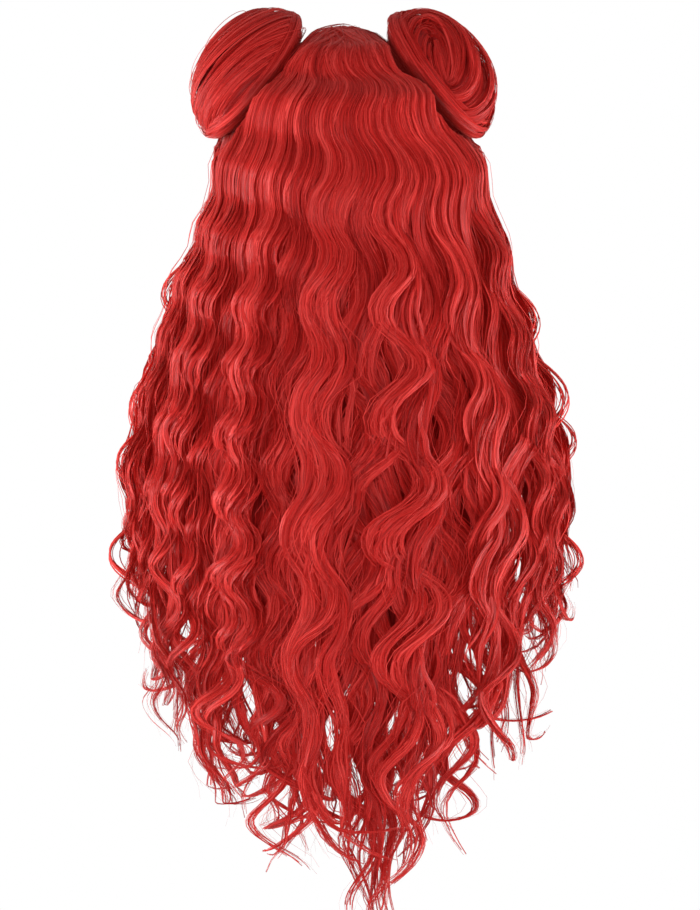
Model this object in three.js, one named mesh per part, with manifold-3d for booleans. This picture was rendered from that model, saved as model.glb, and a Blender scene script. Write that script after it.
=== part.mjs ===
// Long wavy wig with two coiled buns: a hollow cap, panels of wavy locks on a combed backing, and the buns.
// Millimetres, +Z up, the face side towards -Y, the wearer's left towards +X.
// The origin is the inside top of the cap, where the crown of the head sits.

import * as THREE from "three";
import { LoftGeometry } from "three/addons/geometries/LoftGeometry.js";
import { mergeVertices } from "three/addons/utils/BufferGeometryUtils.js";
import Module from "manifold-3d";

const wasm = await Module();
wasm.setup();

// The hollow for the head, as half width, half depth and height, and the layers over it
const HEAD = new THREE.Vector3(78, 100, 98);
const CAP_WALL = 2;
const LINING_GAP = 1.2;
const BACKING_OVER_HEAD = new THREE.Vector3(13, 13, 8);
const LOCK_OVER_HEAD = new THREE.Vector3(13.5, 13.5, 8.5);
const HAIR_TOP_OVER_HEAD = new THREE.Vector3(19.8, 19.8, 14.8);
const LOCK_THICK_ON_HEAD = 11;

// Angles are in degrees. Azimuth 0 is the middle of the back and 90 is the wearer's left ear.
const CAP_RIM = [
  { azimuth: 0, polar: 122 },
  { azimuth: 45, polar: 117 },
  { azimuth: 80, polar: 101 },
  { azimuth: 105, polar: 98 },
  { azimuth: 128, polar: 88 },
  { azimuth: 155, polar: 65 },
  { azimuth: 180, polar: 52 },
];
const HEM = [
  { azimuth: 0, z: -606 },
  { azimuth: 19, z: -566 },
  { azimuth: 40, z: -528 },
  { azimuth: 52, z: -486 },
  { azimuth: 70, z: -446 },
  { azimuth: 90, z: -410 },
  { azimuth: 130, z: -385 },
];

// A panel is a fan of locks that start on a line on top of the head and leave it at a range of azimuths.
const PARTING_HALF = 0.7;
const BACK_PANEL = { startX: [-1.6, 1.6], startY: [28, 28], azimuth: [-77, 77], locks: 14, columns: 14 };
const SIDE_PANEL = { startY: [26, -82], azimuth: [78, 128], locks: 4, columns: 9 };
const SIDES = [
  { word: "left", sign: 1 },
  { word: "right", sign: -1 },
];

// How the hair hangs and waves
const FLARE_SIDE = 57;
const FLARE_BACK = 8;
const FLARE_DROP = 200;
const LAYER_STEP = 9;
const LAYER_DROP = [0, 75];
const WAVE_LENGTH = 86;
const WAVE_ACROSS = 11;
const WAVE_OUTWARD = 4.5;
const WAVE_STARTS = 40;
const WAVE_FULL = 230;
const PHASE_PER_AZIMUTH = 2;
const TIP_CURL = 1.25;
const HANG_LOCK_THICK = 16;
const LOCK_FILL_AT_START = 0.5;
const LOCK_FILLS_BY = 0.6;
const LOCK_FILL_ON_HEAD = 0.94;
const LOCK_FILL_HANGING = 1.12;
const EDGE_LOCK_FILL = 0.9;
const LOCK_SPREAD = 0.97;
const HEM_STAGGER = 22;
const TAPER_FROM = 0.66;
const TIP_SHARE = 0.12;
const TIP_CURL_FROM = 0.7;

// How finely the shapes are divided
const LOCK_START = 0.1;
const LOCK_SIDES = 4;
const CAP_AROUND = 28;
const CAP_RINGS = [0, 0.16, 0.36, 0.57, 0.79, 1];
const BACKING_ROWS = 7;
const ROWS_ON_HEAD = 4;
const ROWS_BEFORE_WAVES = 2;
const WAVES_SHOW_AFTER = 84;
const ROWS_PER_WAVE = 5.5;
const COIL_ARCS = 6;
const COIL_ARC_OVERLAP = 0.04;
const ROPE_SIDES = 7;
const ROPE_ROWS = 4;
const BUN_SEAT_DIVISIONS = [32, 24];

// The shorter hair under the back panel, on a band at the nape
const NAPE = { polar: [102, 117], rootPolar: 110, azimuth: 56, thick: 4.5 };
const NAPE_LOCK = { count: 5, rows: 10, width: 27, thick: [3.6, 9], hemZ: -455, wave: 7 };
const NAPE_DRIFT = { inward: 14, drop: 90 };

// A bun is a rope of hair coiled on the side of the crown
const BUN = {
  centre: new THREE.Vector3(70, 28, -16),
  axis: new THREE.Vector3(0.75, 0.33, 0.57),
  turns: 2.3,
  coilRadius: [33, 5],
  coilHeight: [-6, 20],
  tightening: 1.4,
  ropeAcross: [15, 11],
  ropeAlong: [18, 13],
  stretch: [1.12, 0.95],
};

const HAIR = new THREE.MeshStandardMaterial({ color: 0xb3211f, roughness: 0.45, metalness: 0 });
const NET = new THREE.MeshStandardMaterial({ color: 0x5e1414, roughness: 0.85, metalness: 0 });

const radians = THREE.MathUtils.degToRad;
const { lerp, smoothstep } = THREE.MathUtils;

// Interpolation in a table by azimuth, the same on both sides
function atAzimuth(rows, azimuth, column) {
  const a = Math.abs(azimuth);
  const next = Math.max(1, rows.findIndex((row) => row.azimuth >= a));
  const [low, high] = [rows[next - 1], rows[next]];
  return lerp(low[column], high[column], (a - low.azimuth) / (high.azimuth - low.azimuth));
}

// Places on and over the head
function direction(polar, azimuth) {
  const [p, a] = [radians(polar), radians(azimuth)];
  return new THREE.Vector3(Math.sin(p) * Math.sin(a), Math.sin(p) * Math.cos(a), Math.cos(p));
}

function topDirection(x, y) {
  const [dx, dy] = [x / HEAD.x, y / HEAD.y];
  return new THREE.Vector3(dx, dy, Math.sqrt(1 - dx * dx - dy * dy));
}

function overHead(dir, layer) {
  const point = HEAD.clone().add(layer).multiply(dir);
  point.z -= HEAD.z;
  return point;
}

function evenLayer(height) {
  return new THREE.Vector3(height, height, height);
}

function arcBetween(from, to, share) {
  const angle = from.angleTo(to);
  const a = Math.sin((1 - share) * angle) / Math.sin(angle);
  const b = Math.sin(share * angle) / Math.sin(angle);
  return from.clone().multiplyScalar(a).addScaledVector(to, b);
}

// The way that combed hair takes in a panel: over the head to its widest, then down and outward
function fanLine(panel, share, layer, shorter = 0, lift = 0) {
  const azimuth = lerp(...panel.azimuth, share);
  const from = topDirection(lerp(...panel.startX, share), lerp(...panel.startY, share));
  const to = direction(90, azimuth);
  const onHead = from.angleTo(to) * HEAD.z;
  const length = onHead - HEAD.z - atAzimuth(HEM, azimuth, "z") - shorter;
  const [sideways, backwards] = [Math.sin(radians(azimuth)), Math.cos(radians(azimuth))];
  const outwardAt = (along) => {
    const dir = along < onHead ? arcBetween(from, to, along / onHead) : to;
    return dir.clone().divide(HEAD).normalize();
  };
  const pointAt = (along) => {
    if (along < onHead) return overHead(arcBetween(from, to, along / onHead), layer);
    const drop = along - onHead;
    const flare = smoothstep(drop, 0, FLARE_DROP);
    const lifted = lift * smoothstep(drop, ...LAYER_DROP);
    const x = sideways * (FLARE_SIDE * flare + lifted);
    const y = backwards * (FLARE_BACK * flare + lifted);
    return overHead(to, layer).add(new THREE.Vector3(x, y, -drop));
  };
  return { azimuth, onHead, length, pointAt, outwardAt };
}

// Turning a geometry into a solid for joining and cutting, and back
function solidOf(geometry) {
  const bare = new THREE.BufferGeometry().setAttribute("position", geometry.attributes.position);
  const merged = mergeVertices(bare.setIndex(geometry.index), 1e-4);
  const corners = merged.index.array;
  const kept = [];
  for (let i = 0; i < corners.length; i += 3) {
    const triangle = corners.slice(i, i + 3);
    if (new Set(triangle).size === 3) kept.push(...triangle);
  }
  const triVerts = new Uint32Array(kept);
  const vertProperties = merged.attributes.position.array;
  const made = new wasm.Manifold(new wasm.Mesh({ numProp: 3, vertProperties, triVerts }));
  if (made.volume() >= 0) return made;
  return new wasm.Manifold(new wasm.Mesh({ numProp: 3, vertProperties, triVerts: triVerts.reverse() }));
}

function joined(solids) {
  return solids.reduce((whole, solid) => whole.add(solid));
}

function meshOf(name, solid, material) {
  const made = solid.getMesh();
  const geometry = new THREE.BufferGeometry();
  geometry.setAttribute("position", new THREE.BufferAttribute(made.vertProperties, 3));
  geometry.setIndex(new THREE.BufferAttribute(made.triVerts, 1));
  geometry.computeVertexNormals();
  const mesh = new THREE.Mesh(geometry, material);
  mesh.name = name;
  return mesh;
}

// A closed loft, with each section wound to face the next one
function loft(sections) {
  const [first, second] = sections;
  const onward = new THREE.Vector3();
  const facing = new THREE.Vector3();
  first.forEach((point, i) => {
    onward.add(second[i]).sub(point);
    facing.add(point.clone().cross(first[(i + 1) % first.length]));
  });
  const wound = facing.dot(onward) > 0;
  const turned = wound ? sections : sections.map((points) => [...points].reverse());
  return solidOf(new LoftGeometry(turned, { capStart: true, capEnd: true }));
}

// One lock: a flattened round section swept down a line that waves across and outward
function lockSolid(line, stations, wave, sizeAt) {
  const waveAt = (along) => (2 * Math.PI * along) / WAVE_LENGTH + wave.phase;
  const curlAt = (along) => lerp(1, TIP_CURL, smoothstep(along / line.length, TIP_CURL_FROM, 1));
  const acrossAt = (along) => {
    const down = line.pointAt(along + 1).sub(line.pointAt(Math.max(0, along - 1)));
    return down.cross(line.outwardAt(along)).normalize();
  };
  const centreAt = (along) => {
    const strength = wave.strength(along) * curlAt(along);
    return line
      .pointAt(along)
      .addScaledVector(acrossAt(along), strength * wave.across * Math.sin(waveAt(along)))
      .addScaledVector(line.outwardAt(along), strength * wave.outward * Math.cos(waveAt(along)));
  };
  const sections = stations.map((along) => {
    const centre = centreAt(along);
    const down = centreAt(along + 1).sub(centreAt(Math.max(0, along - 1))).normalize();
    const across = down.clone().cross(line.outwardAt(along)).normalize();
    const outward = across.clone().cross(down);
    const { width, thick } = sizeAt(along);
    return Array.from({ length: LOCK_SIDES }, (_, side) => {
      const turn = (2 * Math.PI * side) / LOCK_SIDES;
      return centre
        .clone()
        .addScaledVector(across, (width / 2) * Math.sin(turn))
        .addScaledVector(outward, (thick / 2) * Math.cos(turn));
    });
  });
  return loft(sections);
}

function taperAt(share) {
  return lerp(1, TIP_SHARE, smoothstep(share, TAPER_FROM, 1));
}

function evenStations(from, to, rows) {
  return Array.from({ length: rows }, (_, row) => from + ((to - from) * (row + 1)) / rows);
}

// A panel's lock in the middle of its share of the fan
function panelLock(panel, index) {
  const share = 0.5 + LOCK_SPREAD * ((index + 0.5) / panel.locks - 0.5);
  const odd = index % 2;
  const line = fanLine(panel, share, LOCK_OVER_HEAD, HEM_STAGGER * odd, LAYER_STEP * odd);
  const atEdge = index === 0 || index === panel.locks - 1;
  const edges = [index, index + 1].map((edge) => fanLine(panel, edge / panel.locks, LOCK_OVER_HEAD));
  const sizeAt = (along) => {
    const taper = taperAt(along / line.length);
    const spacing = edges[0].pointAt(along).distanceTo(edges[1].pointAt(along));
    const hung = smoothstep(along, line.onHead, line.onHead + FLARE_DROP);
    const filled = smoothstep(along / line.onHead, 0, LOCK_FILLS_BY);
    const fillOnHead = lerp(LOCK_FILL_AT_START, LOCK_FILL_ON_HEAD, filled);
    const width = spacing * lerp(fillOnHead, atEdge ? EDGE_LOCK_FILL : LOCK_FILL_HANGING, hung);
    const thick = Math.min(lerp(LOCK_THICK_ON_HEAD, HANG_LOCK_THICK, hung), width);
    return { width: width * taper, thick: thick * taper };
  };
  const wave = {
    phase: radians(line.azimuth * PHASE_PER_AZIMUTH),
    across: WAVE_ACROSS,
    outward: WAVE_OUTWARD,
    strength: (along) => smoothstep(along, line.onHead + WAVE_STARTS - WAVE_LENGTH, line.onHead + WAVE_FULL),
  };
  const start = line.onHead * LOCK_START;
  const waves = line.onHead + WAVES_SHOW_AFTER;
  const stations = [
    start,
    ...evenStations(start, line.onHead, ROWS_ON_HEAD),
    ...evenStations(line.onHead, waves, ROWS_BEFORE_WAVES),
    ...evenStations(waves, line.length, Math.ceil((ROWS_PER_WAVE * (line.length - waves)) / WAVE_LENGTH)),
  ];
  return lockSolid(line, stations, wave, sizeAt);
}

// The combed hair under a panel's locks: a wall over the cap from the start line to the head's widest
function panelBacking(panel) {
  const { columns } = panel;
  const inside = evenLayer(CAP_WALL + LINING_GAP);
  const sections = Array.from({ length: BACKING_ROWS + 1 }, (_, row) => {
    const pointsOf = (layer) =>
      Array.from({ length: columns + 1 }, (_, column) => {
        const line = fanLine(panel, column / columns, layer);
        return line.pointAt((line.onHead * row) / BACKING_ROWS);
      });
    return [...pointsOf(BACKING_OVER_HEAD), ...pointsOf(inside).reverse()];
  });
  return loft(sections);
}

function panelMesh(name, panel) {
  const locks = Array.from({ length: panel.locks }, (_, index) => panelLock(panel, index));
  return meshOf(name, joined([panelBacking(panel), ...locks]), HAIR);
}

// The cap: rings from the top down its inside to the rim, and back up its outside to the top
function capMesh() {
  const ring = (share, layer) =>
    Array.from({ length: CAP_AROUND }, (_, step) => {
      const azimuth = (360 * step) / CAP_AROUND - 180;
      return overHead(direction(share * atAzimuth(CAP_RIM, azimuth, "polar"), azimuth), layer);
    });
  const inside = CAP_RINGS.map((share) => ring(share, evenLayer(0)));
  const outside = CAP_RINGS.map((share) => ring(share, evenLayer(CAP_WALL))).reverse();
  return meshOf("wig_cap", solidOf(new LoftGeometry([...inside, ...outside])), NET);
}

// The nape hair: a band round the back of the cap, with its locks hanging inside the back panel
function napeMesh() {
  const columns = 2 * NAPE_LOCK.count;
  const inside = CAP_WALL + LINING_GAP;
  const layers = [inside, inside + NAPE.thick].map(evenLayer);
  const [top, bottom] = NAPE.polar;
  const bandSections = Array.from({ length: columns + 1 }, (_, column) => {
    const azimuth = lerp(-NAPE.azimuth, NAPE.azimuth, column / columns);
    const corners = [[top, layers[0]], [bottom, layers[0]], [bottom, layers[1]], [top, layers[1]]];
    return corners.map(([polar, layer]) => overHead(direction(polar, azimuth), layer));
  });
  const locks = Array.from({ length: NAPE_LOCK.count }, (_, index) => {
    const azimuth = lerp(-NAPE.azimuth, NAPE.azimuth, (index + 0.5) / NAPE_LOCK.count);
    const root = overHead(direction(NAPE.rootPolar, azimuth), evenLayer(inside + NAPE.thick / 2));
    const outward = direction(90, azimuth);
    const line = {
      length: root.z - NAPE_LOCK.hemZ,
      outwardAt: () => outward,
      pointAt: (along) => {
        const inward = -NAPE_DRIFT.inward * smoothstep(along, 0, NAPE_DRIFT.drop);
        return root.clone().addScaledVector(outward, inward).add(new THREE.Vector3(0, 0, -along));
      },
    };
    const wave = {
      phase: radians(azimuth * PHASE_PER_AZIMUTH),
      across: NAPE_LOCK.wave,
      outward: 0,
      strength: (along) => smoothstep(along, 0, WAVE_FULL),
    };
    const sizeAt = (along) => {
      const taper = taperAt(along / line.length);
      const thick = lerp(...NAPE_LOCK.thick, smoothstep(along, 0, NAPE_DRIFT.drop));
      return { width: NAPE_LOCK.width * taper, thick: thick * taper };
    };
    const stations = [0, ...evenStations(0, line.length, NAPE_LOCK.rows)];
    return lockSolid(line, stations, wave, sizeAt);
  });
  return meshOf("nape_hair", joined([loft(bandSections), ...locks]), HAIR);
}

// A bun: the coil in overlapping arcs, cut to sit on the hair under it
function bunMesh({ word, sign }) {
  const mirror = new THREE.Vector3(sign, 1, 1);
  const axis = BUN.axis.clone().normalize().multiply(mirror);
  const up = new THREE.Vector3(0, 0, 1).addScaledVector(axis, -axis.z).normalize();
  const across = new THREE.Vector3().crossVectors(axis, up).multiplyScalar(sign);
  const centre = BUN.centre.clone().multiply(mirror);
  const coilAt = (turn) => {
    const share = turn / BUN.turns;
    const angle = 2 * Math.PI * turn;
    const radial = up
      .clone()
      .multiplyScalar(BUN.stretch[0] * Math.cos(angle))
      .addScaledVector(across, BUN.stretch[1] * Math.sin(angle));
    const ropeCentre = centre
      .clone()
      .addScaledVector(radial, lerp(...BUN.coilRadius, share ** BUN.tightening))
      .addScaledVector(axis, lerp(...BUN.coilHeight, share));
    return { ropeCentre, radial, share };
  };
  const ropeSection = (turn) => {
    const { ropeCentre, radial, share } = coilAt(turn);
    return Array.from({ length: ROPE_SIDES }, (_, side) => {
      const angle = (2 * Math.PI * (side + 0.5)) / ROPE_SIDES;
      return ropeCentre
        .clone()
        .addScaledVector(radial, lerp(...BUN.ropeAcross, share) * Math.cos(angle))
        .addScaledVector(axis, lerp(...BUN.ropeAlong, share) * Math.sin(angle));
    });
  };
  const rope = Array.from({ length: COIL_ARCS }, (_, arc) => {
    const [from, to] = [arc, arc + 1].map((step) => (step * BUN.turns) / COIL_ARCS);
    const end = Math.min(to + COIL_ARC_OVERLAP, BUN.turns);
    return loft([from, ...evenStations(from, end, ROPE_ROWS)].map(ropeSection));
  });
  const hairTop = HEAD.clone().add(HAIR_TOP_OVER_HEAD);
  const seat = new THREE.SphereGeometry(1, ...BUN_SEAT_DIVISIONS).scale(...hairTop).translate(0, 0, -HEAD.z);
  return meshOf(word + "_bun", joined(rope).subtract(solidOf(seat)), HAIR);
}

const wig = new THREE.Group();
wig.name = "wig";
wig.add(capMesh(), napeMesh(), panelMesh("back_hair", BACK_PANEL));
for (const side of SIDES) {
  const startX = [side.sign * PARTING_HALF, side.sign * PARTING_HALF];
  const azimuth = SIDE_PANEL.azimuth.map((angle) => side.sign * angle);
  wig.add(panelMesh(side.word + "_side_hair", { ...SIDE_PANEL, startX, azimuth }), bunMesh(side));
}

export default wig;
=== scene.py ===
import math

import bpy
import numpy as np
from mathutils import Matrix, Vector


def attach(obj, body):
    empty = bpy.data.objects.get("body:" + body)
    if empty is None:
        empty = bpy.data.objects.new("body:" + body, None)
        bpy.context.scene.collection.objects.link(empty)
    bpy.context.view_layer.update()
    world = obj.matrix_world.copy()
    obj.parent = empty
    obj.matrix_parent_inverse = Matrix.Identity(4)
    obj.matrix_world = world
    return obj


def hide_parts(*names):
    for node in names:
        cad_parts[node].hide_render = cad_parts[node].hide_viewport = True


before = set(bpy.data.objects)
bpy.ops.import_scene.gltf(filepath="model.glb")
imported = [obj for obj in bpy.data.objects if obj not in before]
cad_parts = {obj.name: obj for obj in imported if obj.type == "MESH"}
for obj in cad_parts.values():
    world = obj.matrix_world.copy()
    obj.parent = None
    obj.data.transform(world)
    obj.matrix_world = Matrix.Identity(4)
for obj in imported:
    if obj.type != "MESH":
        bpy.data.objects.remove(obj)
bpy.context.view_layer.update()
bpy.ops.object.select_all(action="DESELECT")
print("frame loaded:", len(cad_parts), "nodes")


# Small helpers

def mix(low, high, share):
    return low + (high - low) * share


def ease(value, low, high):
    share = np.clip((value - low) / (high - low), 0.0, 1.0)
    return share * share * (3.0 - 2.0 * share)


def unit(vectors):
    return vectors / np.maximum(np.linalg.norm(vectors, axis=-1, keepdims=True), 1e-9)


def scatter(rng, count, low=0.0, high=1.0):
    return rng.uniform(low, high, (count, 1))


def compass(turned):
    # level directions, from the back round to the wearer's left
    return np.stack((np.sin(turned), np.cos(turned), np.zeros_like(turned)), axis=-1)


def shifted(points, sideways, outward, lateral, radial):
    return points + sideways * lateral[..., None] + outward * radial[..., None]


# The head and the way the hair falls over it, in metres and degrees

headShape = {
    "half": np.array((0.078, 0.100, 0.098)),  # hollow: half width, half depth, height
    "capWall": 0.002,
    "lockOver": np.array((0.0135, 0.0135, 0.0085)),  # middle of the locks over the hollow
    "backingOver": np.array((0.0118, 0.0118, 0.0068)),  # combed hair under the locks
    "backingUnder": 0.0032,
    "seatOver": np.array((0.0105, 0.0105, 0.0065)),  # where a bun's lowest strands sink to
}
headHeight = headShape["half"][2]
bunPlace = {
    "centre": np.array((0.070, 0.028, -0.0145)), "axis": np.array((0.75, 0.33, 0.57)),
    "stretch": (1.16, 0.95), "radius": 0.0452,
    "dip": 0.0078,  # how far the combed hair sinks under a bun's edge
    "dipEdge": (1.06, 1.18), "dipDepth": (-0.030, -0.017),
    "shadeEdge": (1.02, 1.11),  # where the painted shade line round a bun fades out
    "shadeDepth": (-0.052, -0.036), "shadeSeat": (1.065, 1.15),
}
hang = {
    "flareSide": (0.057, 0.052),  # right and left
    "flareBack": 0.008, "flareDrop": 0.2,
    "flareEven": 0.5,  # how straight the flare runs
    "rightSwell": 0.007,  # the fuller hair under the right bun
    "swellFrom": (-0.045, -0.005), "swellTo": (0.035, 0.075),
    "slit": 0.0045,  # the gap down the middle of the lower hair
    "slitTurn": 3.0, "slitSpread": (8.0, 20.0), "slitFrom": (0.26, 0.34), "slitTo": (0.40, 0.50),
    "layerStep": 0.009,  # every other lock lies in an outer layer
    "layerDrop": 0.075,
    "hemAzimuth": (-130, -90, -70, -52, -40, -22, -9, 5, 19, 40, 52, 70, 90, 130),
    "hemHeight": (-0.385, -0.410, -0.446, -0.486, -0.524, -0.566, -0.614, -0.598,
                  -0.570, -0.534, -0.490, -0.446, -0.410, -0.385),
    "hemStagger": 0.022,
    "tipAzimuth": -9.0,  # the longest tip, which hangs straighter
    "tipSpread": (5.0, 22.0), "tipHook": 0.12, "tipGather": 0.5, "lockSpread": 0.97,
}
wave = {
    "length": 0.090,
    "tightLength": 0.048,  # of the hair at the sides
    "tightLeft": (6.0, 24.0), "tightRight": (46.0, 66.0), "tightSwing": (0.42, 0.9),
    "swingDrop": (0.2, 0.36), "tightSwell": 1.25, "backTurn": 0.72,
    "crownLength": 0.044,  # the tighter ripple of the combed crown
    "round": 0.12,  # how much rounder than a sine the bends are
    "lengthens": (0.05, 0.27),
    "tableFrom": -0.05,  # before the first root
    "tableSteps": 400, "across": 0.0135, "outward": 0.0062, "crownAcross": 0.0042, "crownOutward": 0.0032,
    "crownFrom": (0.012, 0.06), "before": 0.046, "fullDrop": 0.23, "phasePerDegree": 2.0,
    "crownPhase": 1.15, "ownDrop": (-0.04, 0.12),
    "lockPitch": (-4.5, 4.5),  # radians for each metre
    "lockPhase": (-0.8, 0.8),
    "subPhase": (0.1, 0.5, 0.8),  # on the head, hanging, and near the tips
    "subTip": (0.45, 0.95),
    "against": 2.4,  # how far every other lock is out of step
    "tipFrom": 0.6,
    "tipGain": 0.6,  # the curls of the ends take over from the waves
}
parting = 0.0007
panels = {
    "back_hair": {"startX": (-0.0016, 0.0016), "startY": (0.028, 0.028), "azimuth": (-77, 77), "locks": 14},
}
sidePanels = {"left_side_hair": 1, "right_side_hair": -1}
for panelName, sign in sidePanels.items():
    panels[panelName] = {"startX": (sign * parting, sign * parting), "startY": (0.026, -0.082),
                         "azimuth": (sign * 78, sign * 128), "locks": 4}


def bunAxes(sign):
    flip = np.array((sign, 1.0, 1.0))
    axis = unit(bunPlace["axis"]) * flip
    up = unit(np.array((0.0, 0.0, 1.0)) - axis * axis[2])
    return bunPlace["centre"] * flip, axis, up, np.cross(axis, up) * sign


# the dip of the combed hair under each bun, and a mark for painted shade beside its edge
def dipUnderBuns(points):
    dip = np.zeros(points.shape[:-1])
    shade = np.zeros(points.shape[:-1])
    for sign in (1.0, -1.0):
        centre, axis, up, across = bunAxes(sign)
        offset = points - centre
        wide = offset @ up / (bunPlace["radius"] * bunPlace["stretch"][0])
        deep = offset @ across / (bunPlace["radius"] * bunPlace["stretch"][1])
        reach = np.hypot(wide, deep)
        inside = 1.0 - ease(reach, *bunPlace["dipEdge"])
        dip += bunPlace["dip"] * inside * ease(offset @ axis, *bunPlace["dipDepth"])
        # painted shade: hair just outside a bun's edge is marked dark
        shaded = 1.0 - ease(reach, *bunPlace["shadeEdge"])
        shade += shaded * ease(offset @ axis, *bunPlace["shadeDepth"])
    return dip, shade


def fanArc(panel, share):
    half = headShape["half"]
    azimuth = mix(*panel["azimuth"], share)
    x = mix(*panel["startX"], share) / half[0]
    y = mix(*panel["startY"], share) / half[1]
    start = np.stack((x, y, np.sqrt(1.0 - x * x - y * y)), axis=-1)
    end = compass(np.radians(azimuth))
    angle = np.arccos(np.sum(start * end, axis=-1))
    return azimuth, start, end, angle


def headRun(panel, share):
    # the direction in which a strand hangs, and how long it lies on the head
    azimuth, _, _, angle = fanArc(panel, share)
    return azimuth, angle * headHeight


def hemLength(azimuth, onHead):
    hem = np.interp(azimuth, hang["hemAzimuth"], hang["hemHeight"])
    return onHead - headHeight - hem


def fanPoints(panel, share, along, layer, lift=0.0):
    half = headShape["half"]
    azimuth, start, end, angle = fanArc(panel, share)
    onHead = angle * headHeight
    step = np.minimum(along / onHead, 1.0)
    fromStart = (np.sin((1.0 - step) * angle) / np.sin(angle))[..., None]
    toEnd = (np.sin(step * angle) / np.sin(angle))[..., None]
    direction = fromStart * start + toEnd * end
    points = direction * (half + layer)
    beyond = along - onHead
    drop = np.maximum(beyond, 0.0)
    straight = np.clip(drop / hang["flareDrop"], 0.0, 1.0)
    flare = mix(ease(drop, 0.0, hang["flareDrop"]), straight, hang["flareEven"])
    flareSide = np.where(azimuth > 0.0, hang["flareSide"][1], hang["flareSide"][0])
    slit = ease(drop, *hang["slitFrom"]) * (1.0 - ease(drop, *hang["slitTo"])) * hang["slit"]
    slit = slit * np.tanh(azimuth / hang["slitTurn"]) * (1.0 - ease(np.abs(azimuth), *hang["slitSpread"]))
    lifted = lift * ease(drop, 0.0, hang["layerDrop"])
    turned = np.radians(azimuth)
    swell = ease(beyond, *hang["swellFrom"]) * (1.0 - ease(beyond, *hang["swellTo"]))
    swell = np.where(azimuth < 0.0, hang["rightSwell"], 0.0) * swell
    points[..., 0] += np.sin(turned) * (flareSide * flare + lifted + swell)
    points[..., 0] += slit
    points[..., 1] += np.cos(turned) * (hang["flareBack"] * flare + lifted)
    points[..., 2] -= headHeight + drop
    return points, unit(direction / half)


def acrossOf(points, outward):
    return unit(np.cross(np.gradient(points, axis=1), outward))


def lockLines(panel, locks):
    share = 0.5 + hang["lockSpread"] * ((locks + 0.5) / panel["locks"] - 0.5)
    azimuth, onHead = headRun(panel, share)
    odd = locks % 2
    length = hemLength(azimuth, onHead) - hang["hemStagger"] * odd
    return share, azimuth, onHead, length, hang["layerStep"] * odd


def waveStrength(along, onHead, length):
    grown = ease(along, onHead - wave["before"], onHead + wave["fullDrop"])
    return grown * mix(1.0, wave["tipGain"], ease(along / length, wave["tipFrom"], 1.0))


def phaseToLength(along, length):
    table = np.linspace(wave["tableFrom"], wave["lengthens"][1], wave["tableSteps"])
    pitch = mix(wave["crownLength"], length, ease(table, *wave["lengthens"]))
    extra = np.cumsum((math.tau / pitch - math.tau / length) * (table[1] - table[0]))
    return math.tau * along / length + np.interp(along, table, extra) - np.interp(0.0, table, extra)


def tightness(azimuth):
    return np.maximum(ease(azimuth, *wave["tightLeft"]), ease(-azimuth, *wave["tightRight"]))


def wavePhase(along, azimuth, drop):
    # the crown waves in step, and each strand gets its own phase on the way down
    wide = phaseToLength(along, wave["length"])
    tight = phaseToLength(along, wave["tightLength"])
    own = np.radians(azimuth * wave["phasePerDegree"])
    begun = mix(wave["crownPhase"], own, ease(drop, *wave["ownDrop"]))
    return mix(wide, tight, tightness(azimuth)) + begun


def waveOffsets(phase, azimuth, drop, across, outward):
    # tight waves swell to the back more than they swing
    tight = tightness(azimuth)
    turned = np.radians(azimuth * wave["backTurn"]) * tight
    tightSwing = mix(*wave["tightSwing"], ease(drop, *wave["swingDrop"]))
    swing = across * mix(1.0, tightSwing, tight) * np.sin(phase)
    swell = outward * mix(1.0, wave["tightSwell"], tight) * np.cos(phase)
    return swing - swell * np.sin(turned), swell * np.cos(turned)


# Tubes from arrays of paths: closed, with a UV map along them and a tone for each

tubeSides = 3  # a flat tube with its ridge outwards


def tubesFromPaths(name, material, flat, points, outward, width, tone, roll=0.0, part=0.0, shade=0.0):
    count, rings = points.shape[:2]
    forward = unit(np.gradient(points, axis=1))
    level = unit(np.cross(forward, outward))
    roll = (np.zeros((count, rings)) + roll)[..., None]
    across = level * np.cos(roll) + np.cross(level, forward) * np.sin(roll)
    lift = np.cross(across, forward)
    thick = width * flat
    around = np.arange(tubeSides) / tubeSides
    turn = math.tau * around + np.pi / 2.0
    wide = np.cos(turn)[:, None] * width[:, :, None, None] / 2.0
    high = np.sin(turn)[:, None] * thick[:, :, None, None] / 2.0
    corners = points[:, :, None] + across[:, :, None] * wide + lift[:, :, None] * high
    index = np.arange(count * rings * tubeSides).reshape(count, rings, tubeSides)
    following = np.roll(index, -1, axis=2)
    quads = np.stack((index[:, :-1], index[:, 1:], following[:, 1:], following[:, :-1]), axis=-1)
    caps = np.concatenate((index[:, 0], index[:, -1, ::-1]))
    travelled = np.linalg.norm(np.diff(points, axis=1), axis=-1)
    travelled = np.concatenate((np.zeros((count, 1)), np.cumsum(travelled, axis=1)), axis=1)
    beside = around + 1.0 / tubeSides
    near, far = travelled[:, :-1, None], travelled[:, 1:, None]
    quadU = np.broadcast_to(np.stack((around, around, beside, beside), axis=-1), quads.shape)
    quadV = np.broadcast_to(np.stack((near, far, far, near), axis=-1), quads.shape)
    capU = np.tile(around, len(caps))
    capV = np.repeat(np.concatenate((travelled[:, 0], travelled[:, -1])), tubeSides)
    u = np.concatenate((quadU.ravel(), capU))
    v = np.concatenate((quadV.ravel(), capV))
    marks = {"tone": np.repeat(tone, rings * tubeSides)}
    for key, values in (("part", part), ("shade", shade)):
        marks[key] = np.repeat((np.zeros((count, rings)) + values).ravel(), tubeSides)
    vertices, quads = corners.reshape(-1, 3), quads.reshape(-1, 4)
    return meshFromArrays(name, material, vertices, quads, caps, u, v, marks, tubeSides)


def markPoints(mesh, marks):
    for key, values in marks.items():
        mesh.attributes.new(key, "FLOAT", "POINT").data.foreach_set("value", values.astype(np.float32))


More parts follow.
